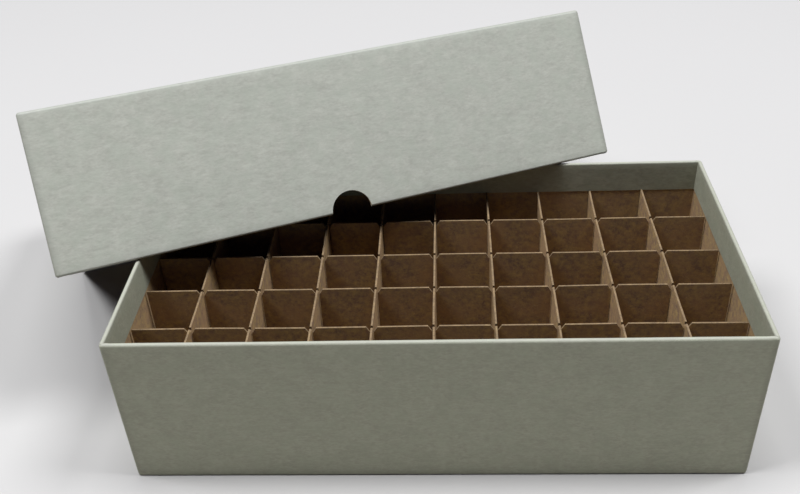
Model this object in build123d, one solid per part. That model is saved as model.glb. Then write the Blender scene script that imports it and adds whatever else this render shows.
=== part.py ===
"""Rigid paperboard storage box: a wrapped base, a slotted partition and a wrapped lid leaning on the base."""
from build123d import *
from math import asin, cos, degrees, radians, sin
import os

# Base, over its covering paper (mm)
BOX_LENGTH = 264.0
BOX_WIDTH = 133.5
BOX_HEIGHT = 76.5

# Sheet materials
BOARD = 1.4             # chipboard of the base and lid
PAPER = 0.15            # covering paper, and the tape on the corners
DIVIDER = 0.8           # partition board
GLUE = 0.03             # left between two glued layers

# How the board is folded and covered
SEAM = 0.2              # left between two walls at an upright corner
TURN_IN = 15.9          # paper folded over the rim and down the inside
TURN_UNDER = 12.0       # paper folded in under the base
SHEET_MARGIN = 3.0      # edge of the base to the edge of the bottom sheet
STAY_LEG = 12.0         # one half of a corner tape

# Partition
COLUMNS = 10
ROWS = 5
PARTITION_DROP = 15.4   # rim down to the top edges of the dividers
END_GAP = 0.7           # end of a divider to the turned-in paper
FLOOR_GAP = 0.3         # bottom edges of the dividers to the floor
SLOT_PLAY = 0.7         # slot width beyond the board it takes
SLOT_REST = 0.4         # left between two crossed dividers at mid height
MOUTH_WIDTH = 4.8       # V at the top of a long divider's slot
MOUTH_DEPTH = 2.8
NICK = 1.5              # cut in the top edge of a cross divider at each crossing

# Lid
LID_CLEARANCE = 0.56    # each side, between the closed lid and the base
LID_STOPS_SHORT = 5.3   # rim of the closed lid to the table
NOTCH_RADIUS = 9.5      # thumb notch in the middle of each long wall

# How the lid leans
REST_GAP = 0.3          # lid to the base rims, and lid to the table
LEAN_YAW = 21.25        # turn of the lid against the base (degrees)
LEAN_FROM_RIGHT = 44.4  # right side of the base to the lid's right rim corner
LEAN_PAST_BACK = 6.6    # back of the base to the same corner

# Sizes that follow from the ones above
LAYER = 2 * (PAPER + GLUE)
WALL = LAYER + BOARD + GLUE + PAPER
INNER_LENGTH = BOX_LENGTH - 2 * WALL
INNER_WIDTH = BOX_WIDTH - 2 * WALL
PITCH_X = (BOX_LENGTH - 2 * (LAYER + BOARD)) / COLUMNS
PITCH_Y = (BOX_WIDTH - 2 * (LAYER + BOARD)) / ROWS
DIVIDER_LOW = LAYER + BOARD + FLOOR_GAP
DIVIDER_HIGH = BOX_HEIGHT - PARTITION_DROP
DIVIDER_MID = (DIVIDER_LOW + DIVIDER_HIGH) / 2
SLOT = DIVIDER + SLOT_PLAY
LID_LENGTH = BOX_LENGTH + 2 * (LID_CLEARANCE + WALL)
LID_WIDTH = BOX_WIDTH + 2 * (LID_CLEARANCE + WALL)
LID_PANEL = PAPER + GLUE + BOARD
LID_DEPTH = BOX_HEIGHT + LID_PANEL - LID_STOPS_SHORT
LEAN_TILT = degrees(asin(BOX_HEIGHT / (LID_WIDTH - WALL)))


def block(length, width, low, high):
    """Box centred on the Z axis, from one height to another."""
    return Pos(0, 0, (low + high) / 2) * Box(length, width, high - low)


def ring(length, width, thickness, low, high):
    """Four-sided ring; length and width are its outside."""
    inside = block(length - 2 * thickness, width - 2 * thickness, low, high)
    return block(length, width, low, high) - inside


def folded_board(length, width, under, rim):
    """Tray of scored board: a floor with four walls that meet in open seams."""
    long_side = length - 2 * LAYER
    short_side = width - 2 * LAYER
    top = rim - PAPER - GLUE
    tray = block(long_side, short_side, under, under + BOARD)
    for side in (-1, 1):
        long_wall = block(long_side, BOARD, under, top)
        tray += Pos(0, side * (short_side - BOARD) / 2, 0) * long_wall
        end_wall = block(BOARD, short_side - 2 * (BOARD + SEAM), under, top)
        tray += Pos(side * (long_side - BOARD) / 2, 0, 0) * end_wall
    return tray


def folded_paper(length, width, low, rim):
    """Covering paper: up the outside, over the rim and down the inside."""
    outside = ring(length, width, PAPER, low, rim)
    over_rim = ring(length, width, WALL, rim - PAPER, rim)
    inset = 2 * (WALL - PAPER)
    inside = ring(length - inset, width - inset, PAPER, rim - TURN_IN, rim)
    return outside + over_rim + inside


def corner_stays(length, width, under, rim):
    """Four tapes, each bent round one upright corner of the board."""
    inset = 2 * (PAPER + GLUE)
    band = ring(length - inset, width - inset, PAPER, under, rim - PAPER - GLUE)
    stays = []
    for x_side, y_side in ((-1, -1), (1, -1), (1, 1), (-1, 1)):
        corner = block(2 * STAY_LEG, 2 * STAY_LEG, under, rim)
        stays.append(band & (Pos(x_side * length / 2, y_side * width / 2, 0) * corner))
    return stays


def bottom_sheet():
    """Flat paper glued under the base, over the folded-in paper."""
    return block(BOX_LENGTH - 2 * SHEET_MARGIN, BOX_WIDTH - 2 * SHEET_MARGIN, 0, PAPER)


def base_paper():
    """The base's covering paper with the part folded in underneath."""
    low = PAPER + GLUE
    under = ring(BOX_LENGTH, BOX_WIDTH, TURN_UNDER, low, low + PAPER)
    return folded_paper(BOX_LENGTH, BOX_WIDTH, low, BOX_HEIGHT) + under


def crossings(count, pitch):
    """Positions of the dividers that part a side into equal cells."""
    return [(k - count / 2) * pitch for k in range(1, count)]


def upright_plate(outline):
    """Divider board in the XZ plane, cut to an outline."""
    face = make_face(Polyline(*outline, close=True))
    return extrude(Plane.XZ * face, DIVIDER / 2, both=True)


def long_divider():
    """Divider along the box: slots open upwards, with V mouths."""
    half = INNER_LENGTH / 2 - END_GAP
    slot_low = DIVIDER_MID - SLOT_REST / 2
    mouth_low = DIVIDER_HIGH - MOUTH_DEPTH
    outline = [(-half, DIVIDER_LOW), (-half, DIVIDER_HIGH)]
    for x in crossings(COLUMNS, PITCH_X):
        outline.append((x - MOUTH_WIDTH / 2, DIVIDER_HIGH))
        outline.append((x - SLOT / 2, mouth_low))
        outline.append((x - SLOT / 2, slot_low))
        outline.append((x + SLOT / 2, slot_low))
        outline.append((x + SLOT / 2, mouth_low))
        outline.append((x + MOUTH_WIDTH / 2, DIVIDER_HIGH))
    outline.append((half, DIVIDER_HIGH))
    outline.append((half, DIVIDER_LOW))
    return upright_plate(outline)


def cross_divider():
    """Divider across the box: slots open downwards, nicks in the top edge."""
    half = INNER_WIDTH / 2 - END_GAP
    slot_high = DIVIDER_MID + SLOT_REST / 2
    positions = crossings(ROWS, PITCH_Y)
    outline = [(-half, DIVIDER_LOW), (-half, DIVIDER_HIGH)]
    for y in positions:
        outline.append((y - NICK / 2, DIVIDER_HIGH))
        outline.append((y - NICK / 2, DIVIDER_HIGH - NICK))
        outline.append((y + NICK / 2, DIVIDER_HIGH - NICK))
        outline.append((y + NICK / 2, DIVIDER_HIGH))
    outline.append((half, DIVIDER_HIGH))
    outline.append((half, DIVIDER_LOW))
    for y in reversed(positions):
        outline.append((y + SLOT / 2, DIVIDER_LOW))
        outline.append((y + SLOT / 2, slot_high))
        outline.append((y - SLOT / 2, slot_high))
        outline.append((y - SLOT / 2, DIVIDER_LOW))
    return Rot(0, 0, 90) * upright_plate(outline)


def thumb_notches():
    """One bar through both long walls of the lid at its rim."""
    bar = Cylinder(NOTCH_RADIUS, 2 * LID_WIDTH)
    return Pos(0, 0, LID_DEPTH) * Rot(90, 0, 0) * bar


def lid_board():
    """The lid's folded board, rim upwards."""
    tray = folded_board(LID_LENGTH, LID_WIDTH, PAPER + GLUE, LID_DEPTH)
    return tray - thumb_notches()


def lid_paper():
    """The lid's covering paper, rim upwards, in one sheet with the panel."""
    panel = block(LID_LENGTH, LID_WIDTH, 0, PAPER)
    paper = folded_paper(LID_LENGTH, LID_WIDTH, 0, LID_DEPTH) + panel
    return paper - thumb_notches()


def leaning(shape):
    """Turn a lid piece rim down and lean it over the base's back left corner."""
    tilt = radians(LEAN_TILT)
    yaw = radians(LEAN_YAW)
    rim_z = BOX_HEIGHT + REST_GAP + WALL * sin(tilt)
    rim_x = BOX_LENGTH / 2 - LEAN_FROM_RIGHT - LID_LENGTH * cos(yaw)
    rim_y = BOX_WIDTH / 2 + LEAN_PAST_BACK - LID_LENGTH * sin(yaw)
    rim_down = Pos(LID_LENGTH / 2, LID_WIDTH / 2, LID_DEPTH) * Rot(180, 0, 0)
    place = Pos(rim_x, rim_y, rim_z) * Rot(0, 0, LEAN_YAW) * Rot(-LEAN_TILT, 0, 0)
    return place * rim_down * shape


def save(shape, node):
    """Write one node."""
    export_step(shape, f"parts/{node}.step")


def build_base():
    """Base board, its paper, the bottom sheet and the corner tapes."""
    save(folded_board(BOX_LENGTH, BOX_WIDTH, LAYER, BOX_HEIGHT), "base_board")
    save(base_paper(), "base_wrap")
    save(bottom_sheet(), "base_bottom_sheet")
    stays = corner_stays(BOX_LENGTH, BOX_WIDTH, LAYER, BOX_HEIGHT)
    for number, stay in enumerate(stays, 1):
        save(stay, f"base_corner_stay_{number}")


def build_partition():
    """Long dividers front to back, then cross dividers left to right."""
    for number, y in enumerate(crossings(ROWS, PITCH_Y), 1):
        save(Pos(0, y, 0) * long_divider(), f"long_divider_{number}")
    for number, x in enumerate(crossings(COLUMNS, PITCH_X), 1):
        save(Pos(x, 0, 0) * cross_divider(), f"cross_divider_{number}")


def build_lid():
    """Lid board, its paper and the corner tapes, all leaning."""
    save(leaning(lid_board()), "lid_board")
    save(leaning(lid_paper()), "lid_wrap")
    stays = corner_stays(LID_LENGTH, LID_WIDTH, PAPER + GLUE, LID_DEPTH)
    for number, stay in enumerate(stays, 1):
        save(leaning(stay), f"lid_corner_stay_{number}")


os.makedirs("parts", exist_ok=True)
build_base()
build_partition()
build_lid()
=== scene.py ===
import math

import bmesh
import bpy
from mathutils import Euler, Matrix, Vector, noise


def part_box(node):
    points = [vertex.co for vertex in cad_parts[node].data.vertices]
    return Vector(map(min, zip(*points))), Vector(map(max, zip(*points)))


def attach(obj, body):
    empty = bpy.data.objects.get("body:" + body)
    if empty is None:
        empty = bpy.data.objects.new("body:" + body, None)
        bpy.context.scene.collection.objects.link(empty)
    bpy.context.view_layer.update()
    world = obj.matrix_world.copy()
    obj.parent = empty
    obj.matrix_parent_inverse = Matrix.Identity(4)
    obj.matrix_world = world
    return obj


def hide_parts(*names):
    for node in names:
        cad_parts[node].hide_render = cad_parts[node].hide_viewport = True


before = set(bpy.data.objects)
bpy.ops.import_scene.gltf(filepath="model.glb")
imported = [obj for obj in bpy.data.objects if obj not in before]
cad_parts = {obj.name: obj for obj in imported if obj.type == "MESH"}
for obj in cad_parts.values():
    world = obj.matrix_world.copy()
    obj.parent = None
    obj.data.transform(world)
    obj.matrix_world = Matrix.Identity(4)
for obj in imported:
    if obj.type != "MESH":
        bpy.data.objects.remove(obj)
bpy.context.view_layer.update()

MM = 0.001

# Camera, floor and lamps
CAMERA_PLACE = Vector((7.4, -335.8, 315.3)) * MM
CAMERA_TURN = (54.33, 2.58, 1.98)
CAMERA_LENS = 41.75
CAMERA_NEAR = 10 * MM
FLOOR_FLAT = 3.0
FLOOR_SWEEP = 1.6
FLOOR_DROP = 0.1 * MM
FLOOR_BENDS = 16
FLOOR_TURNS = 96
LAMP_AIM = Vector((0.0, 0.0, 0.05))
LAMP_COLOUR = (0.96, 1.0, 1.12)
LAMPS = {
    "over_middle": ((0.0, 0.25, 3.0), (1.25, 1.25), 62.0),
    "over_left": ((-1.375, -0.125, 2.5), (1.0, 0.875), 72.0),
    "over_right": ((1.375, 0.125, 2.5), (0.875, 0.875), 66.0),
}
SKY_COLOUR = (0.62, 0.60, 1.5, 1.0)
SKY_STRENGTH = 0.035

# Sheet materials, as the box maker cuts them
PAPER = 0.15 * MM
GLUE = 0.03 * MM
BOARD = 1.4 * MM
DIVIDER = 0.8 * MM
LAYER = 2 * (PAPER + GLUE)
WALL = LAYER + BOARD + GLUE + PAPER

# Covering paper
TURN_IN = 15.9 * MM
TURN_UNDER = 12.0 * MM
CORNER_ROUND = 1.3 * MM
# How far the painted shade reaches from the upright corners of the paper
CORNER_SHADE_REACH = 2.0 * MM
FOOT_ROUND = 0.75 * MM
PANEL_ROUND = 1.5 * MM
RIM_ROUND_OUT = 1.1 * MM
RIM_ROUND_IN = 0.8 * MM
TIGHTEST_FOLD = 0.12 * MM
CREASE = 0.14 * MM
CREASE_DROP = 1.6
LAP_STEP = 0.08 * MM
CORNER_STEPS = (0.4 * MM, 0.8 * MM, 1.2 * MM, 1.8 * MM, 2.6 * MM)
PUFF = 0.14 * MM
PUFF_PLACE = 1.3 * MM
PUFF_REACH = 0.7 * MM
DENT = 0.3 * MM
FOLD_SHARE = 0.22
RIM_REACH = 2.2 * MM
FOOT_REACH = 1.6 * MM
LONG_LAP = 9.0 * MM
SHORT_LAP = 1.4 * MM
RIM_WEAR = 1.4 * MM
# How far the painted shade reaches up from the fold at the foot
FOOT_SHADE_REACH = 1.2 * MM
GRID_STEP = 3.0 * MM
CORNER_CLEAR = 1.3
CORNER_PARTS = 8

# Waves and ripples in the glued paper: how close they are, how fast they change up the wall and from side to
# side, and how far the paper sinks with them, as shares of WAVE: steadily, with the waves, with the ripples
WAVE = 0.1 * MM
WAVES, WAVES_UP, WAVES_TURN = 22, 14, 3.1
RIPPLES, RIPPLES_UP, RIPPLES_TURN = 90, 60, 5.7
SINK_OUTSIDE = (0.5, 0.45, 0.0)
SINK_INSIDE = (0.9, 1.4, 0.4)
RIM_RIPPLE = 0.35

# Board and corner tapes under the paper
BOARD_PLAY = 0.14 * MM
BOARD_ROUND = 0.5 * MM
PANEL_BOARD_ROUND = 0.9 * MM
RIM_PLAY = 0.45 * MM
STAY_LEG = 12.0 * MM
STAY_INSET = 0.34 * MM
STAY_SHORT = 1.3 * MM

# Partition
COLUMNS = 10
ROWS = 5
SLOT_PLAY = 0.7 * MM
SLOT_REST = 0.4 * MM
MOUTH_WIDTH = 4.8 * MM
MOUTH_DEPTH = 2.8 * MM
NICK = 1.5 * MM
CUT_PAST = 1.0 * MM
DIVIDER_STEP_ALONG = 4 * MM
DIVIDER_STEP_UP = 6 * MM
WARP = 1.6 * MM
WARP_WAVES = 14.0
WARP_SHARE = (1.0, 1.0, 0.15)
SWAY = -1.2 * MM
SWAY_REACH = 9.0 * MM
TORN_FIBRES = 4.0e5
FIBRE_LENGTH = 0.42 * MM
FIBRE_FOOT = 0.035 * MM
FIBRE_TIP = 0.005 * MM
FIBRE_SWING = Vector((1.5, 1.5, 3.1))

# Thumb notches
NOTCH_RADIUS = 9.5 * MM
NOTCH_FACETS = 72

# Shading is soft up to these angles, in degrees
SOFT_ANGLE = 35
DIVIDER_SOFT_ANGLE = 25


def span(node):
    """Middle and size of a CAD node."""
    low, high = (Vector(corner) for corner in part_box(node))
    return (low + high) / 2, high - low


# ---------------------------------------------------------------- mesh helpers


def into_scene(name, data):
    """New object at the origin that shows a mesh, a lamp or a camera."""
    thing = bpy.data.objects.new(name, data)
    bpy.context.scene.collection.objects.link(thing)
    return thing


def finished(name, mesh, material, soft_angle=SOFT_ANGLE):
    """New piece with one material and soft shading up to an angle."""
    mesh.name = name
    mesh.materials.clear()
    mesh.materials.append(material)
    mesh.shade_smooth()
    mesh.set_sharp_from_angle(angle=math.radians(soft_angle))
    return into_scene(name, mesh)


def evaluated(name, source):
    """Plain mesh of an object with its modifiers, after which the object is gone."""
    graph = bpy.context.evaluated_depsgraph_get()
    mesh = bpy.data.meshes.new_from_object(source.evaluated_get(graph))
    mesh.name = name
    bpy.data.objects.remove(source)
    return mesh


def thicken(holder):
    """Thickness of paper or tape, added behind the seen face."""
    thick = holder.modifiers.new("thickness", "SOLIDIFY")
    thick.thickness = PAPER
    thick.offset = -1


def cut_out(holder, cutter):
    """Hole in the shape of a cutter."""
    cut = holder.modifiers.new("cut_out", "BOOLEAN")
    cut.operation = "DIFFERENCE"
    cut.solver = "EXACT"
    cut.object = cutter


def sheet_mesh(name, rings, wear_and_shade=None, capped=(False, False), looped=True):
    """Sheet through rows of points; capped fills the end rows, and the third argument holds one value for
    each point: rub on the rims, and below zero painted shade at the corners and folds.
    """
    mesh = bpy.data.meshes.new(name)
    work = bmesh.new()
    layer = work.verts.layers.float.new("wear_and_shade")
    rows = [[work.verts.new(point) for point in ring] for ring in rings]
    for row, values in zip(rows, wear_and_shade or []):
        for vertex, value in zip(row, values):
            vertex[layer] = value
    for one, two in zip(rows, rows[1:]):
        for k in range(len(one) if looped else len(one) - 1):
            n = (k + 1) % len(one)
            work.faces.new((one[k], one[n], two[n], two[k]))
    if capped[0]:
        work.faces.new(rows[0][::-1])
    if capped[1]:
        work.faces.new(rows[-1])
    work.to_mesh(mesh)
    work.free()
    return mesh


def stations(length, width):
    """Places round a rectangle, each a kind, the number of its side, and its share of the side or corner."""
    marks = []
    for side, reach in enumerate((length, width, length, width)):
        steps = max(6, round(reach / GRID_STEP))
        near = [step / reach for step in CORNER_STEPS]
        clear = near[-1] * CORNER_CLEAR
        inner = [k / steps for k in range(1, steps) if clear < k / steps < 1 - clear]
        shares = [0.0] + near + inner + [1 - share for share in reversed(near)] + [1.0]
        marks += [("side", side, share) for share in shares]
        marks += [("corner", side, part / CORNER_PARTS) for part in range(1, CORNER_PARTS)]
    return marks


def ring_point(mark, length, width, inset, radius):
    """Point in plan and its outward direction, for one mark on a rounded rectangle."""
    kind, side, share = mark
    bend = max(radius - inset, TIGHTEST_FOLD)
    half_x = length / 2 - inset - bend
    half_y = width / 2 - inset - bend
    corners = ((-half_x, -half_y), (half_x, -half_y), (half_x, half_y), (-half_x, half_y))
    start = Vector(corners[side])
    end = Vector(corners[(side + 1) % 4])
    angle = math.radians(-90 + 90 * side)
    if kind == "corner":
        angle += math.radians(90 * share)
        outward = Vector((math.cos(angle), math.sin(angle)))
        return end + outward * bend, outward
    outward = Vector((math.cos(angle), math.sin(angle)))
    return start.lerp(end, share) + outward * bend, outward


def arc(centre_inset, centre_height, radius, start, end, steps):
    """Part of a profile: (inset, height) along an arc, angles in degrees, 180 towards the outside."""
    points = []
    for k in range(steps + 1):
        angle = math.radians(start + (end - start) * k / steps)
        points.append((centre_inset + radius * math.cos(angle), centre_height + radius * math.sin(angle)))
    return points


def heights(low, high):
    """Heights of the rows between two heights, both left out."""
    steps = max(2, round(abs(high - low) / GRID_STEP))
    return [low + (high - low) * k / steps for k in range(1, steps)]


def paper_profile(rim, foot, foot_reach, fold):
    """Section of the paper's seen face, as (inset, height), from foot over the rim; fold is a radius."""
    reach = max(3, round(foot_reach / (4 * GRID_STEP)))
    points = [(foot_reach + (fold - foot_reach) * k / reach, foot) for k in range(reach)]
    points += arc(fold, foot + fold, fold, 270, 180, 6)
    points += [(0.0, z) for z in heights(foot + fold, rim - RIM_ROUND_OUT)]
    points += arc(RIM_ROUND_OUT, rim - RIM_ROUND_OUT, RIM_ROUND_OUT, 180, 90, 6)
    points += arc(WALL - RIM_ROUND_IN, rim - RIM_ROUND_IN, RIM_ROUND_IN, 90, 0, 5)
    points += [(WALL, z) for z in heights(rim - RIM_ROUND_IN, rim - TURN_IN)]
    points += [(WALL, rim - TURN_IN)]
    return points


def settle(point, outward, mark, inset, height, rim, foot, reach, seed):
    """Small faults of hand covering: waves in the walls, folds that puff and crease at the corners, laps."""
    kind, side, share = mark
    outside = inset < WALL / 2
    wave = noise.noise(point.to_3d() * WAVES + Vector((seed, height * WAVES_UP, side * WAVES_TURN)))
    ripple = noise.noise(point.to_3d() * RIPPLES + Vector((seed, height * RIPPLES_UP, side * RIPPLES_TURN)))
    inside = not outside and inset < 2 * WALL
    steady, with_wave, with_ripple = SINK_INSIDE if inside else SINK_OUTSIDE
    sink = WAVE * (steady + with_wave * wave + with_ripple * ripple)
    near_rim = max(0.0, 1 - (rim - height) / RIM_REACH)
    near_foot = max(0.0, 1 - (height - foot) / FOOT_REACH)
    drop = RIM_RIPPLE * WAVE * (0.5 + 0.5 * ripple) * near_rim
    if kind == "corner":
        fold = math.exp(-(((share - 0.5) / FOLD_SHARE) ** 2))
        drop += CREASE_DROP * CREASE * fold * near_rim
        sink += CREASE * fold * near_rim
        if outside:
            sink += LAP_STEP + DENT * fold * near_foot
    else:
        from_corner = min(share, 1 - share) * reach
        puff = math.exp(-(((from_corner - PUFF_PLACE) / PUFF_REACH) ** 2)) * near_rim
        drop -= PUFF * puff
        if outside:
            lap = max(0.0, 1 - from_corner / (SHORT_LAP if side % 2 else LONG_LAP))
            sink += LAP_STEP * lap - 0.5 * PUFF * puff
    return Vector((point.x - outward.x * sink, point.y - outward.y * sink, height - drop))


def wear_and_shade_at(mark, inset, height, rim, foot, reach):
    """How much a point of the paper is rubbed, as on the rim, or below zero darkened by painted shade, as on
    the upright corners and the fold at the foot.
    """
    kind, side, share = mark
    on_rim = max(0.0, 1 - (rim - height) / RIM_WEAR) if inset < 2 * WALL else 0.0
    if inset > WALL / 2:
        return on_rim
    from_corner = 0.0 if kind == "corner" else min(share, 1 - share) * reach
    on_corner = max(0.0, 1 - from_corner / CORNER_SHADE_REACH)
    on_foot = max(0.0, 1 - (height - foot) / FOOT_SHADE_REACH)
    # Painted shade near the upright corners and along the fold at the foot, less where the rim is rubbed
    return max(-1.0, min(1.0, on_rim - max(on_corner, on_foot) * (1 - on_rim)))


def covering_paper(name, length, width, rim, foot, foot_reach, fold, place, seed, closed, cutter=None):
    """Paper glued over a tray: a single sheet given its thickness, cut for the notches and put in place."""
    marks = stations(length, width)
    rings = []
    wear_and_shade = []
    for inset, height in paper_profile(rim, foot, foot_reach, fold):
        ring = []
        for mark in marks:
            point, outward = ring_point(mark, length, width, inset, CORNER_ROUND)
            reach = (length, width)[mark[1] % 2]
            ring.append(settle(point, outward, mark, inset, height, rim, foot, reach, seed))
        rings.append(ring)
        # One value for each point: rubbed rims, and below zero painted shade at the corners and the fold at
        # the foot
        reaches = [(length, width)[mark[1] % 2] for mark in marks]
        wear_and_shade.append([wear_and_shade_at(mark, inset, height, rim, foot, reach) for mark, reach in zip(marks, reaches)])
    holder = into_scene(name + "_flat", sheet_mesh(name, rings, wear_and_shade, (closed, False)))
    thicken(holder)
    if cutter:
        cut_out(holder, cutter)
    mesh = evaluated(name, holder)
    mesh.transform(place)
    return mesh


def board_tray(name, length, width, rim, foot, fold, place, cutter=None):
    """Board folded up into a tray: underside, rounded folds, outside, rim, inside and floor."""
    marks = stations(length, width)
    outer = LAYER + BOARD_PLAY
    inner = LAYER + BOARD
    top = rim - RIM_PLAY
    low = foot + BOARD_PLAY
    profile = arc(outer + fold, low + fold, fold, 270, 180, 5)
    profile += [(outer, z) for z in heights(low + fold, top - BOARD_ROUND)]
    profile += arc(outer + BOARD_ROUND, top - BOARD_ROUND, BOARD_ROUND, 180, 90, 4)
    profile += arc(inner - BOARD_ROUND, top - BOARD_ROUND, BOARD_ROUND, 90, 0, 4)
    profile += [(inner, z) for z in heights(top - BOARD_ROUND, foot + BOARD)]
    profile += [(inner, foot + BOARD)]
    rings = []
    for inset, height in profile:
        ring = [ring_point(mark, length, width, inset, CORNER_ROUND)[0] for mark in marks]
        rings.append([Vector((point.x, point.y, height)) for point in ring])
    holder = into_scene(name + "_whole", sheet_mesh(name, rings, capped=(True, True)))
    if cutter:
        cut_out(holder, cutter)
    mesh = evaluated(name, holder)
    mesh.transform(place)
    return mesh


def corner_tape(name, corner, length, width, rim, foot, place):
    """Tape bent round one upright corner, between the board and the paper."""
    reaches = (length, width)
    before = STAY_LEG / reaches[corner % 2]
    after = STAY_LEG / reaches[(corner + 1) % 2]
    marks = [("side", corner, 1 - before * (1 - k / 4)) for k in range(5)]
    marks += [("corner", corner, part / CORNER_PARTS) for part in range(1, CORNER_PARTS)]
    marks += [("side", (corner + 1) % 4, after * k / 4) for k in range(5)]
    low = foot + STAY_SHORT
    top = rim - STAY_SHORT
    rings = []
    for height in [low] + heights(low, top) + [top]:
        ring = [ring_point(mark, length, width, STAY_INSET, CORNER_ROUND)[0] for mark in marks]
        rings.append([Vector((point.x, point.y, height)) for point in ring])
    holder = into_scene(name + "_flat", sheet_mesh(name, rings, looped=False))
    thicken(holder)
    mesh = evaluated(name, holder)
    mesh.transform(place)
    return mesh


def notch_bar(length, rim):
    """Round bar through both long walls of a tray at its rim."""
    work = bmesh.new()
    turn = Matrix.Translation((0, 0, rim)) @ Matrix.Rotation(math.radians(90), 4, "X")
    bmesh.ops.create_cone(
        work,
        cap_ends=True,
        segments=NOTCH_FACETS,
        radius1=NOTCH_RADIUS,
        radius2=NOTCH_RADIUS,
        depth=length,
        matrix=turn,
    )
    mesh = bpy.data.meshes.new("notch_bar")
    work.to_mesh(mesh)
    work.free()
    return into_scene("notch_bar", mesh)


# ---------------------------------------------------------------- node helpers


def add(tree, kind, inputs=None, **settings):
    """New node; inputs maps a socket's name or number to a value or to another node's output."""
    made = tree.nodes.new(kind)
    for key, value in settings.items():
        setattr(made, key, value)
    for key, value in (inputs or {}).items():
        if isinstance(value, bpy.types.NodeSocket):
            tree.links.new(value, made.inputs[key])
        else:
            made.inputs[key].default_value = value
    return made


def maths(tree, operation, one, two=0.0):
    """Output of a Math node."""
    return add(tree, "ShaderNodeMath", {0: one, 1: two}, operation=operation).outputs[0]


def ramp(tree, value, low, high, to_low=0.0, to_high=1.0):
    """Value mapped from one range to another, clamped."""
    inputs = {"Value": value, "From Min": low, "From Max": high, "To Min": to_low, "To Max": to_high}
    return add(tree, "ShaderNodeMapRange", inputs).outputs["Result"]


def grain(tree, place, scale, detail=2.0, rough=0.5, stretch=None):
    """Noise in object space; scale is in waves per metre."""
    if stretch:
        place = add(tree, "ShaderNodeMapping", {"Vector": place, "Scale": stretch}).outputs["Vector"]
    inputs = {"Vector": place, "Scale": scale, "Detail": detail, "Roughness": rough}
    return add(tree, "ShaderNodeTexNoise", inputs).outputs["Fac"]


def mix(tree, share, one, two, blend="MIX"):
    """Colour between two colours."""
    made = add(tree, "ShaderNodeMix", data_type="RGBA", blend_type=blend, clamp_factor=True)
    for socket, value in ((made.inputs[0], share), (made.inputs[6], one), (made.inputs[7], two)):
        if isinstance(value, bpy.types.NodeSocket):
            tree.links.new(value, socket)
        else:
            socket.default_value = value if isinstance(value, float) else (*value, 1.0)
    return made.outputs[2]


def new_finish(name):
    """Empty material with its shader and object coordinates."""
    material = bpy.data.materials.new(name)
    material.use_nodes = True
    tree = material.node_tree
    shader = tree.nodes["Principled BSDF"]
    place = add(tree, "ShaderNodeTexCoord").outputs["Object"]
    return material, tree, shader, place


def relief(tree, shader, height, depth, strength):
    """Bump on a shader."""
    inputs = {"Height": height, "Distance": depth, "Strength": strength}
    tree.links.new(add(tree, "ShaderNodeBump", inputs).outputs["Normal"], shader.inputs["Normal"])


# ---------------------------------------------------------------- materials

SAGE = (0.336, 0.334, 0.264)
SAGE_DEEP = (0.264, 0.263, 0.206)
SAGE_GREEN = (0.286, 0.300, 0.229)
SAGE_WORN = (0.272, 0.264, 0.226)
# Dark tint for the painted shade at the upright corners and along the fold at the foot
SAGE_PAINTED_SHADE = (0.135, 0.131, 0.101)
BOARD_BROWN = (0.398, 0.268, 0.103)
BOARD_DARK = (0.208, 0.132, 0.085)
BOARD_RED = (0.358, 0.218, 0.104)
BOARD_FIBRE = (0.47, 0.35, 0.190)
BOARD_CUT = (0.172, 0.118, 0.060)
BOARD_CUT_DEEP = (0.112, 0.076, 0.041)
KRAFT = (0.42, 0.29, 0.17)
FLOOR_PALE = (0.385, 0.367, 0.326)

# Waves of each pattern in a metre, the paper's stretch along its fibres, and the relief of each finish
PAPER_CLOUD, PAPER_PATCH, PAPER_MOTTLE, PAPER_FIBRE = 90, 150, 480, 1200
BOARD_CLOUD, BOARD_PATCH, BOARD_PULP, BOARD_SPECK, BOARD_HAIR = 70, 260, 380, 750, 1300
TAPE_STREAK = 500
FLOOR_CLOUD = 3
PAPER_GRAIN = (0.45, 1.0, 1.0)
PAPER_RELIEF = 0.05 * MM
BOARD_RELIEF = 0.07 * MM
TAPE_RELIEF = 0.02 * MM


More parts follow.
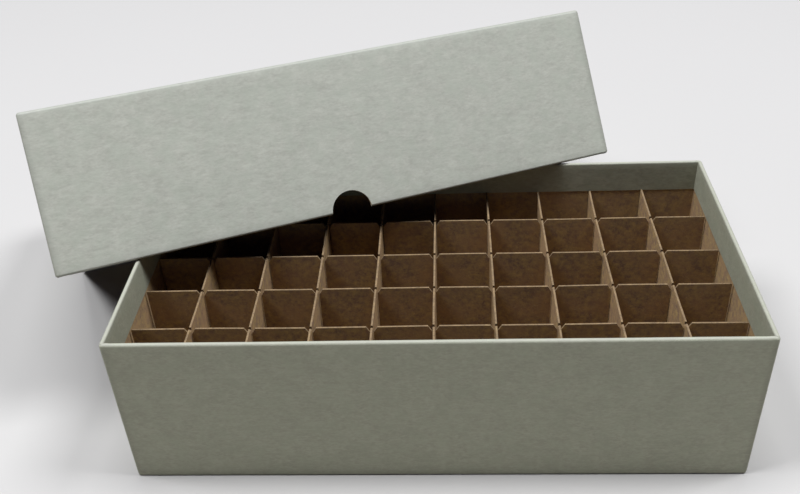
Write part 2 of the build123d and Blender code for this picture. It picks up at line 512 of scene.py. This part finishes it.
def sage_paper(name, warm_shade, turn, mottled):
    """Pale grey-green covering paper: fibres along the box, soft mottle, rubbed rims, painted shade at the
    corners and the fold at the foot, and less blue for painted warm shade.
    """
    material, tree, shader, place = new_finish(name)
    place = add(tree, "ShaderNodeMapping", {"Vector": place, "Rotation": (0.0, 0.0, -turn)}).outputs["Vector"]
    tints = (SAGE_DEEP, SAGE, SAGE_GREEN, SAGE_WORN, SAGE_PAINTED_SHADE)
    # Less blue in every tint is painted warm shade
    deep, pale, green, worn, painted_shade = ((red, full, blue * (1 - warm_shade)) for red, full, blue in tints)
    cloud = grain(tree, place, PAPER_CLOUD, 3, 0.6)
    mottle = grain(tree, place, PAPER_MOTTLE, 2, 0.6, PAPER_GRAIN)
    fibre = grain(tree, place, PAPER_FIBRE, 2, 0.6, PAPER_GRAIN)
    tone = maths(tree, "ADD", maths(tree, "ADD", fibre, mottle), maths(tree, "MULTIPLY", cloud, 0.7))
    colour = mix(tree, ramp(tree, tone, 1.35 - mottled, 1.35 + mottled), deep, pale)
    patch = grain(tree, place, PAPER_PATCH, 2)
    colour = mix(tree, ramp(tree, patch, 0.4, 0.65, 0.0, 0.45), colour, green)
    wear_and_shade = add(tree, "ShaderNodeAttribute", attribute_name="wear_and_shade").outputs["Fac"]
    rubbed = maths(tree, "MULTIPLY", wear_and_shade, ramp(tree, mottle, 0.35, 0.62, 0.3, 0.9))
    colour = mix(tree, rubbed, colour, worn)
    # Painted shade: below zero the value darkens the paper at the upright corners and along the fold at the
    # foot
    colour = mix(tree, ramp(tree, wear_and_shade, 0.0, -1.0, 0.0, 0.28), colour, painted_shade)
    tree.links.new(colour, shader.inputs["Base Color"])
    tree.links.new(ramp(tree, mottle, 0.3, 0.7, 0.52, 0.68), shader.inputs["Roughness"])
    height = maths(tree, "ADD", fibre, maths(tree, "MULTIPLY", mottle, 1.4))
    relief(tree, shader, height, PAPER_RELIEF, 0.6)
    return material


def chipboard(name, lighter):
    """Raw brown chipboard: pulp mottle, pale fibres, dark specks, darker cut edges."""
    material, tree, shader, place = new_finish(name)
    cloud = grain(tree, place, BOARD_CLOUD, 3, 0.6)
    pulp = grain(tree, place, BOARD_PULP, 4, 0.7)
    fibre = grain(tree, place, BOARD_HAIR, 2, 0.6)
    speck = grain(tree, place, BOARD_SPECK, 2, 0.7)
    colour = mix(tree, ramp(tree, pulp, 0.36, 0.64), BOARD_DARK, BOARD_BROWN)
    colour = mix(tree, ramp(tree, cloud, 0.42, 0.66, 0.0, 0.6), colour, BOARD_RED)
    colour = mix(tree, ramp(tree, fibre, 0.6, 0.72, 0.0, 0.4), colour, BOARD_FIBRE)
    colour = mix(tree, ramp(tree, speck, 0.62, 0.74, 0.0, 0.7), colour, BOARD_DARK)
    colour = mix(tree, lighter, colour, BOARD_FIBRE)
    cut = add(tree, "ShaderNodeAttribute", attribute_name="cut_edge").outputs["Fac"]
    patch = grain(tree, place, BOARD_PATCH, 3, 0.6)
    raw = mix(tree, ramp(tree, fibre, 0.35, 0.65), BOARD_CUT_DEEP, BOARD_CUT)
    bare = maths(tree, "MULTIPLY", cut, ramp(tree, patch, 0.36, 0.6, 0.75, 1.0))
    colour = mix(tree, bare, colour, raw)
    tree.links.new(colour, shader.inputs["Base Color"])
    shader.inputs["Roughness"].default_value = 0.92
    shader.inputs["Specular IOR Level"].default_value = 0.25
    height = maths(tree, "ADD", pulp, fibre)
    relief(tree, shader, height, BOARD_RELIEF, 0.7)
    return material


def kraft_tape():
    """Smooth brown tape."""
    material, tree, shader, place = new_finish("kraft_tape")
    streak = grain(tree, place, TAPE_STREAK, 4, 0.6, (1.0, 1.0, 0.25))
    tree.links.new(mix(tree, ramp(tree, streak, 0.3, 0.7), KRAFT, BOARD_FIBRE), shader.inputs["Base Color"])
    shader.inputs["Roughness"].default_value = 0.6
    relief(tree, shader, streak, TAPE_RELIEF, 0.4)
    return material


def pale_floor():
    """Floor of the studio."""
    material, tree, shader, place = new_finish("pale_floor")
    tone = grain(tree, place, FLOOR_CLOUD, 2)
    paler = tuple(channel * 1.03 for channel in FLOOR_PALE)
    tree.links.new(mix(tree, tone, FLOOR_PALE, paler), shader.inputs["Base Color"])
    shader.inputs["Roughness"].default_value = 0.9
    return material


# ---------------------------------------------------------------- divider tree

TREE_INPUTS = {
    "Length": "NodeSocketFloat",
    "Thickness": "NodeSocketFloat",
    "Foot": "NodeSocketFloat",
    "Top": "NodeSocketFloat",
    "Crossings": "NodeSocketInt",
    "Pitch": "NodeSocketFloat",
    "Slot Width": "NodeSocketFloat",
    "Slot Low": "NodeSocketFloat",
    "Slot High": "NodeSocketFloat",
    "Mouth Low": "NodeSocketFloat",
    "Mouth High": "NodeSocketFloat",
    "Mouth Low Width": "NodeSocketFloat",
    "Mouth High Width": "NodeSocketFloat",
    "Turn": "NodeSocketFloat",
    "Place": "NodeSocketVector",
    "Warp": "NodeSocketFloat",
    "Sway Place": "NodeSocketFloat",
    "Sway": "NodeSocketFloat",
    "Sway Reach": "NodeSocketFloat",
    "Burrs": "NodeSocketFloat",
    "Seed": "NodeSocketInt",
    "Finish": "NodeSocketMaterial",
}


def vector(tree, x=0.0, y=0.0, z=0.0):
    """Output of a Combine XYZ node."""
    return add(tree, "ShaderNodeCombineXYZ", {"X": x, "Y": y, "Z": z}).outputs[0]


def vector_maths(tree, operation, inputs):
    """Output of a Vector Math node."""
    return add(tree, "ShaderNodeVectorMath", inputs, operation=operation).outputs[0]


def divider_tree():
    """Divider with a slot and a mouth at every crossing, torn fibres, and the whole partition's warp."""
    tree = bpy.data.node_groups.new("slotted_divider", "GeometryNodeTree")
    for name, kind in TREE_INPUTS.items():
        tree.interface.new_socket(name, in_out="INPUT", socket_type=kind)
    tree.interface.new_socket("Geometry", in_out="OUTPUT", socket_type="NodeSocketGeometry")
    given = tree.nodes.new("NodeGroupInput").outputs

    def half(one, two):
        return maths(tree, "MULTIPLY", maths(tree, "ADD", one, two), 0.5)

    def moved(geometry, place, rotation=(0.0, 0.0, 0.0)):
        inputs = {"Geometry": geometry, "Translation": place, "Rotation": rotation}
        return add(tree, "GeometryNodeTransform", inputs).outputs[0]

    # Plate with enough points to bend
    tall = maths(tree, "SUBTRACT", given["Top"], given["Foot"])
    size = vector(tree, given["Length"], given["Thickness"], tall)
    across = maths(tree, "DIVIDE", given["Length"], DIVIDER_STEP_ALONG)
    upwards = maths(tree, "DIVIDE", tall, DIVIDER_STEP_UP)
    counts = {"Size": size, "Vertices X": across, "Vertices Y": 2, "Vertices Z": upwards}
    plate = add(tree, "GeometryNodeMeshCube", counts).outputs["Mesh"]
    plate = moved(plate, vector(tree, 0.0, 0.0, half(given["Foot"], given["Top"])))

    # One cutter of each kind at every crossing
    gaps = maths(tree, "SUBTRACT", given["Crossings"], 1)
    first = maths(tree, "MULTIPLY", maths(tree, "MULTIPLY", gaps, given["Pitch"]), -0.5)
    step = vector(tree, given["Pitch"])
    line = {"Count": given["Crossings"], "Start Location": vector(tree, first), "Offset": step}
    crossings = add(tree, "GeometryNodeMeshLine", line, mode="OFFSET", count_mode="TOTAL").outputs[0]
    slot_tall = maths(tree, "SUBTRACT", given["Slot High"], given["Slot Low"])
    slot_size = vector(tree, given["Slot Width"], 4 * DIVIDER, slot_tall)
    slot = add(tree, "GeometryNodeMeshCube", {"Size": slot_size}).outputs["Mesh"]
    slot = moved(slot, vector(tree, 0.0, 0.0, half(given["Slot Low"], given["Slot High"])))
    mouth_inputs = {
        "Vertices": 4,
        "Radius Top": maths(tree, "MULTIPLY", given["Mouth High Width"], math.sqrt(0.5)),
        "Radius Bottom": maths(tree, "MULTIPLY", given["Mouth Low Width"], math.sqrt(0.5)),
        "Depth": maths(tree, "SUBTRACT", given["Mouth High"], given["Mouth Low"]),
    }
    mouth = add(tree, "GeometryNodeMeshCone", mouth_inputs).outputs["Mesh"]
    mouth = moved(mouth, vector(tree, 0.0, 0.0, given["Mouth Low"]), (0.0, 0.0, math.radians(45)))
    cutters = []
    for cutter in (slot, mouth):
        placed = add(tree, "GeometryNodeInstanceOnPoints", {"Points": crossings, "Instance": cutter})
        cutters.append(add(tree, "GeometryNodeRealizeInstances", {0: placed.outputs[0]}).outputs[0])
    cut = add(tree, "GeometryNodeMeshBoolean", {0: plate}, operation="DIFFERENCE", solver="EXACT")
    for cutter in cutters:
        tree.links.new(cutter, cut.inputs[1])

    # Cut edges are the faces that don't look along the thickness
    normal = tree.nodes.new("GeometryNodeInputNormal").outputs[0]
    through = add(tree, "ShaderNodeSeparateXYZ", {0: normal}).outputs[1]
    edge = maths(tree, "LESS_THAN", maths(tree, "ABSOLUTE", through), 0.5)
    marked = add(
        tree,
        "GeometryNodeStoreNamedAttribute",
        {"Geometry": cut.outputs[0], "Name": "cut_edge", "Value": edge},
        data_type="FLOAT",
        domain="FACE",
    ).outputs[0]

    # Torn fibres along the cut edges
    flat_place = tree.nodes.new("GeometryNodeInputPosition").outputs[0]
    above = add(tree, "ShaderNodeSeparateXYZ", {0: flat_place}).outputs[2]
    high = maths(tree, "GREATER_THAN", above, half(given["Foot"], given["Top"]))
    torn = maths(tree, "MULTIPLY", edge, high)
    spots = {"Mesh": marked, "Selection": torn, "Density": given["Burrs"], "Seed": given["Seed"]}
    points = add(tree, "GeometryNodeDistributePointsOnFaces", spots).outputs[0]
    hair = {"Vertices": 3, "Radius Top": FIBRE_TIP, "Radius Bottom": FIBRE_FOOT, "Depth": FIBRE_LENGTH}
    hair = add(tree, "GeometryNodeMeshCone", hair).outputs["Mesh"]
    swing = add(
        tree,
        "FunctionNodeRandomValue",
        {0: -FIBRE_SWING, 1: FIBRE_SWING, "Seed": given["Seed"]},
        data_type="FLOAT_VECTOR",
    ).outputs[0]
    placed = {"Points": points, "Instance": hair, "Rotation": swing}
    hairs = add(tree, "GeometryNodeInstanceOnPoints", placed).outputs[0]
    hairs = add(tree, "GeometryNodeRealizeInstances", {0: hairs}).outputs[0]
    hairs = add(
        tree,
        "GeometryNodeStoreNamedAttribute",
        {"Geometry": hairs, "Name": "cut_edge", "Value": 1.0},
        data_type="FLOAT",
        domain="FACE",
    ).outputs[0]
    joined = tree.nodes.new("GeometryNodeJoinGeometry")
    tree.links.new(marked, joined.inputs[0])
    tree.links.new(hairs, joined.inputs[0])

    # Into the grid, then the warp that all dividers share, so that crossings still meet
    placed = moved(joined.outputs[0], given["Place"], vector(tree, 0.0, 0.0, given["Turn"]))
    position = tree.nodes.new("GeometryNodeInputPosition").outputs[0]
    wave = {"Vector": position, "Scale": WARP_WAVES, "Detail": 1.0}
    wave = add(tree, "ShaderNodeTexNoise", wave, noise_dimensions="3D").outputs["Color"]
    centred = vector_maths(tree, "SUBTRACT", {0: wave, 1: (0.5, 0.5, 0.5)})
    flat = vector_maths(tree, "MULTIPLY", {0: centred, 1: WARP_SHARE})
    shift = vector_maths(tree, "SCALE", {0: flat, "Scale": given["Warp"]})
    split = add(tree, "ShaderNodeSeparateXYZ", {0: position}).outputs
    away = maths(tree, "DIVIDE", maths(tree, "SUBTRACT", split[1], given["Sway Place"]), given["Sway Reach"])
    near = maths(tree, "EXPONENT", maths(tree, "MULTIPLY", maths(tree, "MULTIPLY", away, away), -1.0))
    sway = vector(tree, 0.0, maths(tree, "MULTIPLY", near, given["Sway"]))
    shift = vector_maths(tree, "ADD", {0: shift, 1: sway})
    warped = add(tree, "GeometryNodeSetPosition", {"Geometry": placed, "Offset": shift}).outputs[0]
    whole = add(tree, "GeometryNodeRealizeInstances", {0: warped}).outputs[0]
    painted = {"Geometry": whole, "Material": given["Finish"]}
    coloured = add(tree, "GeometryNodeSetMaterial", painted).outputs[0]
    out = tree.nodes.new("NodeGroupOutput")
    tree.links.new(coloured, out.inputs[0])
    return tree


def divider(node, tree, values, material):
    """One divider made by the tree, in place of its CAD node."""
    holder = into_scene(node + "_maker", bpy.data.meshes.new(node))
    maker = holder.modifiers.new("divider", "NODES")
    maker.node_group = tree
    names = {item.name: item.identifier for item in tree.interface.items_tree if item.in_out == "INPUT"}
    for name, value in {**values, "Finish": material}.items():
        maker[names[name]] = value
    made = evaluated(node, holder)
    piece = finished(node.replace("divider", "slotted_divider"), made, material, DIVIDER_SOFT_ANGLE)
    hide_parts(node)
    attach(piece, "partition")
    return piece


# ---------------------------------------------------------------- pieces

def corner_tapes(tray, length, width, rim, foot, place, material):
    """The four corner tapes of one tray, in place of their CAD nodes."""
    for number in range(1, 5):
        name = f"{tray}_corner_tape_{number}"
        piece = finished(name, corner_tape(name, (number + 2) % 4, length, width, rim, foot, place), material)
        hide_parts(f"{tray}_corner_stay_{number}")
        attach(piece, tray)


# The base's paper has less blue than the lid's: painted warm shade for the base's shaded faces; it is the
# same paper as the lid's
base_finish = sage_paper("sage_base_paper", warm_shade=0.1, turn=0.0, mottled=0.22)
board = chipboard("wall_chipboard", lighter=0.1)
divider_board = chipboard("divider_chipboard", lighter=0.0)
tape = kraft_tape()

# Base
base_size = span("base_wrap")[1]
base_rim = base_size.z + PAPER + GLUE
base_paper = covering_paper(
    "base_paper",
    base_size.x,
    base_size.y,
    rim=base_rim,
    foot=PAPER + GLUE,
    foot_reach=TURN_UNDER,
    fold=FOOT_ROUND,
    place=Matrix(),
    seed=3.0,
    closed=False,
)
base_paper = finished("base_covering_paper", base_paper, base_finish)
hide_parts("base_wrap")
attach(base_paper, "base")

base_tray = board_tray("base_tray", base_size.x, base_size.y, base_rim, LAYER, BOARD_ROUND, Matrix())
base_tray = finished("base_folded_board", base_tray, board)
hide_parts("base_board")
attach(base_tray, "base")
corner_tapes("base", base_size.x, base_size.y, base_rim, LAYER, Matrix(), tape)

# Lid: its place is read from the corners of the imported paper
corners = [vertex.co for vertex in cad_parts["lid_wrap"].data.vertices]
front_left = min(corners, key=lambda point: point.y)
front_right = max(corners, key=lambda point: point.x)
rear_left = min(corners, key=lambda point: (round(point.z, 5), point.x))
lid_along = (front_right - front_left).normalized()
lid_across = (rear_left - front_left).normalized()
lid_up = lid_along.cross(lid_across)
lid_length = (front_right - front_left).length
lid_width = (rear_left - front_left).length
lid_depth = max((point - front_left).dot(lid_up) for point in corners)
lid_axes = Matrix((lid_along, lid_across, lid_up)).transposed().to_4x4()
rim_down = Matrix.Translation((lid_length / 2, lid_width / 2, lid_depth)) @ Matrix.Rotation(math.pi, 4, "X")
lid_place = Matrix.Translation(front_left) @ lid_axes @ rim_down
bar = notch_bar(2 * lid_width, lid_depth)
panel_reach = lid_width / 2 - GRID_STEP
lid_paper = covering_paper(
    "lid_paper",
    lid_length,
    lid_width,
    rim=lid_depth,
    foot=0.0,
    foot_reach=panel_reach,
    fold=PANEL_ROUND,
    place=lid_place,
    seed=8.0,
    closed=True,
    cutter=bar,
)
lid_tray = board_tray(
    "lid_tray", lid_length, lid_width, lid_depth, PAPER + GLUE, PANEL_BOARD_ROUND, lid_place, bar
)
bpy.data.objects.remove(bar)
lid_tray = finished("lid_folded_board", lid_tray, board)
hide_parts("lid_board")
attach(lid_tray, "lid")
corner_tapes("lid", lid_length, lid_width, lid_depth, PAPER + GLUE, lid_place, tape)
lid_turn = math.atan2(lid_along.y, lid_along.x)
lid_finish = sage_paper("sage_lid_paper", warm_shade=0.0, turn=lid_turn, mottled=0.35)
lid_paper = finished("lid_covering_paper", lid_paper, lid_finish)
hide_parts("lid_wrap")
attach(lid_paper, "lid")

# Partition
tree = divider_tree()
long_middle, long_size = span("long_divider_1")
cross_size = span("cross_divider_1")[1]
foot = long_middle.z - long_size.z / 2
top = long_middle.z + long_size.z / 2
middle = (foot + top) / 2
slot_width = DIVIDER + SLOT_PLAY
mouth_slope = (MOUTH_WIDTH - slot_width) / MOUTH_DEPTH
pitch_x = (base_size.x - 2 * (LAYER + BOARD)) / COLUMNS
pitch_y = (base_size.y - 2 * (LAYER + BOARD)) / ROWS
shared = {
    "Thickness": DIVIDER,
    "Foot": foot,
    "Top": top,
    "Slot Width": slot_width,
    "Warp": WARP,
    "Sway Place": pitch_y / 2,
    "Sway": SWAY,
    "Sway Reach": SWAY_REACH,
    "Burrs": TORN_FIBRES,
}
for number in range(1, ROWS):
    values = {
        **shared,
        "Length": long_size.x,
        "Crossings": COLUMNS - 1,
        "Pitch": pitch_x,
        "Slot Low": middle - SLOT_REST / 2,
        "Slot High": top + CUT_PAST,
        "Mouth Low": top - MOUTH_DEPTH,
        "Mouth High": top + CUT_PAST,
        "Mouth Low Width": slot_width,
        "Mouth High Width": MOUTH_WIDTH + mouth_slope * CUT_PAST,
        "Turn": 0.0,
        "Place": (0.0, span(f"long_divider_{number}")[0].y, 0.0),
        "Seed": number,
    }
    divider(f"long_divider_{number}", tree, values, divider_board)
for number in range(1, COLUMNS):
    values = {
        **shared,
        "Length": cross_size.y,
        "Crossings": ROWS - 1,
        "Pitch": pitch_y,
        "Slot Low": foot - CUT_PAST,
        "Slot High": middle + SLOT_REST / 2,
        "Mouth Low": top - NICK,
        "Mouth High": top + CUT_PAST,
        "Mouth Low Width": NICK,
        "Mouth High Width": NICK,
        "Turn": math.radians(90),
        "Place": (span(f"cross_divider_{number}")[0].x, 0.0, 0.0),
        "Seed": 10 + number,
    }
    divider(f"cross_divider_{number}", tree, values, divider_board)

# The bottom sheet is right as it is
bottom_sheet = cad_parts["base_bottom_sheet"]
bottom_sheet.data.materials.clear()
bottom_sheet.data.materials.append(base_finish)

# ---------------------------------------------------------------- studio


def soft_box(name, place, size, power):
    """Rectangular lamp that looks down at the box."""
    lamp = bpy.data.lights.new(name, "AREA")
    lamp.shape = "RECTANGLE"
    lamp.size, lamp.size_y = size
    lamp.energy = power
    lamp.color = LAMP_COLOUR
    light = into_scene(name, lamp)
    light.location = place
    light.rotation_euler = (LAMP_AIM - Vector(place)).to_track_quat("-Z", "Y").to_euler()


def floor_sweep():
    """Round floor whose edge sweeps up."""
    bends = [math.radians(90 * k / FLOOR_BENDS) for k in range(FLOOR_BENDS + 1)]
    profile = [(FLOOR_FLAT + FLOOR_SWEEP * math.sin(a), FLOOR_SWEEP * (1 - math.cos(a))) for a in bends]
    turns = [math.radians(360 * k / FLOOR_TURNS) for k in range(FLOOR_TURNS)]
    rings = [[Vector((r * math.cos(a), r * math.sin(a), z - FLOOR_DROP)) for a in turns] for r, z in profile]
    return sheet_mesh("floor", [ring[::-1] for ring in rings[::-1]], capped=(False, True))


floor = finished("floor", floor_sweep(), pale_floor())

for lamp_name, (lamp_place, lamp_size, lamp_power) in LAMPS.items():
    soft_box(lamp_name, lamp_place, lamp_size, lamp_power)

world = bpy.data.worlds.new("studio")
world.use_nodes = True
sky = world.node_tree.nodes["Background"].inputs
sky["Color"].default_value = SKY_COLOUR
sky["Strength"].default_value = SKY_STRENGTH
bpy.context.scene.world = world
bpy.context.scene.view_settings.view_transform = "Standard"

camera_data = bpy.data.cameras.new("camera")
camera_data.lens = CAMERA_LENS
camera_data.clip_start = CAMERA_NEAR
camera = into_scene("camera", camera_data)
camera.location = CAMERA_PLACE
camera.rotation_euler = Euler([math.radians(angle) for angle in CAMERA_TURN])
bpy.context.scene.camera = camera
